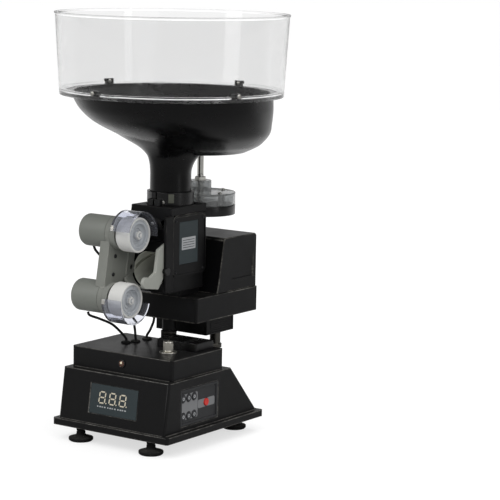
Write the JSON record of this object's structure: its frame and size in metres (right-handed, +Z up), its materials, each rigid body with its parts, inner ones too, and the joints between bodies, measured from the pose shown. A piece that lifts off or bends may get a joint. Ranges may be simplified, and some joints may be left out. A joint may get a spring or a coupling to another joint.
{
  "type": "table tennis robot",
  "caption": "Table tennis robot with a clear ball hopper on a tube, a swivelling turret, two powered rollers on a tilting bracket and a keypad base.",
  "frame": {"origin": "on the floor, on the swivel axis, which is also the axis of the tube and the hopper ring", "axes": "+X to the robot's right (keypad side), balls leave towards -Y, +Z up"},
  "size_m": [0.276, 0.276, 0.5002],
  "materials": {
    "black_shell": "satin black moulded plastic",
    "black_gloss": "glossy black plastic",
    "black_matt": "matt black plastic",
    "grey_cast": "grey painted casting",
    "grey_motor": "grey painted steel can",
    "slate": "slate plate",
    "panel_grey": "light grey keypad plate",
    "key_dark": "dark grey key cap",
    "key_red": "red key cap",
    "roller_white": "white roller tyre",
    "rubber_black": "black rubber",
    "lead_black": "black lead insulation",
    "board_green": "green circuit board",
    "clear_sheet": "clear acrylic",
    "clear_hub": "clear moulded hub",
    "silver": "silver turned metal",
    "chrome": "polished steel",
    "brass": "brass"
  },
  "bodies": {
    "base": {"base_body": "black_shell", "bottom_cover": "black_matt", "circuit_board": "board_green", "display_panel": "slate", "keypad_panel": "panel_grey", "key_board": "board_green", "sensor_lens": "black_gloss", "dc_inlet": "black_matt", "grommet_1": "rubber_black", "grommet_2": "rubber_black", "grommet_3": "rubber_black", "rubber_foot_1": "rubber_black", "rubber_foot_2": "rubber_black", "rubber_foot_3": "rubber_black", "rubber_foot_4": "rubber_black", "knob_washer": "silver", "pivot_block": "black_gloss", "pivot_post": "chrome", "thrust_washer": "black_matt", "slotted_arm": "black_matt"},
    "turret": {"turret_tray": "black_shell", "swivel_gearbox": "black_matt", "rear_cover": "black_shell", "feed_motor": "silver", "feed_column": "black_matt", "label_cover": "black_shell", "plain_cover": "black_shell", "label_plate": "slate", "tube_collar": "black_gloss", "hopper_bowl": "black_gloss", "hopper_ring": "clear_sheet", "gear_tray": "black_gloss", "gear_lid": "clear_sheet", "upper_motor_lead": "lead_black", "lower_motor_lead": "lead_black", "turret_lead": "lead_black"},
    "crank": {"swivel_crank": "black_matt"},
    "stirrer": {"stirrer_shaft": "chrome", "stirrer_wheel": "black_matt", "drive_gear": "black_matt"},
    "pinion": {"motor_pinion": "brass"},
    "head": {"head_bracket": "grey_cast", "tilt_pin_left": "chrome", "tilt_pin_right": "chrome", "upper_motor": "grey_motor", "lower_motor": "grey_motor", "upper_guard": "clear_sheet", "lower_guard": "clear_sheet"},
    "upper_roller": {"upper_tyre": "roller_white", "upper_hub": "clear_hub"},
    "lower_roller": {"lower_tyre": "roller_white", "lower_hub": "clear_hub"},
    "knob": {"speed_knob": "silver"},
    "key_top_1_cap": {"key_top_1": "key_dark"},
    "key_top_2_cap": {"key_top_2": "key_dark"},
    "key_top_3_cap": {"key_top_3": "key_dark"},
    "key_low_1_cap": {"key_low_1": "key_dark"},
    "key_low_2_cap": {"key_low_2": "key_dark"},
    "key_low_3_cap": {"key_low_3": "key_dark"},
    "stop_key_cap": {"stop_key": "key_red"}
  },
  "joints": [
    {"name": "swivel", "type": "hinge", "parent": "base", "child": "turret", "pos_m": [0, 0, 0.12], "axis": [0, 0, 1], "range_deg": [-15, 15], "deforming": ["upper_motor_lead", "lower_motor_lead", "turret_lead"]},
    {"name": "crank_turn", "type": "hinge", "parent": "turret", "child": "crank", "pos_m": [0.03, 0.053, 0.11], "axis": [0, 0, 1], "range_deg": [-31, 31]},
    {"name": "stirrer_spin", "type": "hinge", "parent": "turret", "child": "stirrer", "pos_m": [0, 0.059, 0.3], "axis": [0, 0, 1], "continuous": true},
    {"name": "pinion_spin", "type": "hinge", "parent": "turret", "child": "pinion", "pos_m": [-0.018, 0.08174, 0.25], "axis": [0, 0, 1], "continuous": true},
    {"name": "tilt", "type": "hinge", "parent": "turret", "child": "head", "pos_m": [0, -0.046, 0.2033], "axis": [1, 0, 0], "range_deg": [-5, 12], "deforming": ["upper_motor_lead", "lower_motor_lead"]},
    {"name": "upper_roller_spin", "type": "hinge", "parent": "head", "child": "upper_roller", "pos_m": [0, -0.07086, 0.2466], "axis": [1, 0, 0], "continuous": true},
    {"name": "lower_roller_spin", "type": "hinge", "parent": "head", "child": "lower_roller", "pos_m": [0, -0.0845, 0.17151], "axis": [1, 0, 0], "continuous": true},
    {"name": "speed_turn", "type": "hinge", "parent": "base", "child": "knob", "pos_m": [0.041, -0.055, 0.11], "axis": [0, 0, 1], "range_deg": [-150, 150]},
    {"name": "key_top_1_press", "type": "slide", "parent": "base", "child": "key_top_1_cap", "axis": [-1, 0, 0], "range_m": [0, 0.0008], "stiffness_N_per_m": 800},
    {"name": "key_top_2_press", "type": "slide", "parent": "base", "child": "key_top_2_cap", "axis": [-1, 0, 0], "range_m": [0, 0.0008], "stiffness_N_per_m": 800},
    {"name": "key_top_3_press", "type": "slide", "parent": "base", "child": "key_top_3_cap", "axis": [-1, 0, 0], "range_m": [0, 0.0008], "stiffness_N_per_m": 800},
    {"name": "key_low_1_press", "type": "slide", "parent": "base", "child": "key_low_1_cap", "axis": [-1, 0, 0], "range_m": [0, 0.0008], "stiffness_N_per_m": 800},
    {"name": "key_low_2_press", "type": "slide", "parent": "base", "child": "key_low_2_cap", "axis": [-1, 0, 0], "range_m": [0, 0.0008], "stiffness_N_per_m": 800},
    {"name": "key_low_3_press", "type": "slide", "parent": "base", "child": "key_low_3_cap", "axis": [-1, 0, 0], "range_m": [0, 0.0008], "stiffness_N_per_m": 800},
    {"name": "stop_key_press", "type": "slide", "parent": "base", "child": "stop_key_cap", "axis": [-1, 0, 0], "range_m": [0, 0.0008], "stiffness_N_per_m": 800}
  ],
  "couplings": [
    {"joint": "crank_turn", "follows": "swivel", "ratio": 1.98},
    {"joint": "pinion_spin", "follows": "stirrer_spin", "ratio": -3.8333}
  ]
}
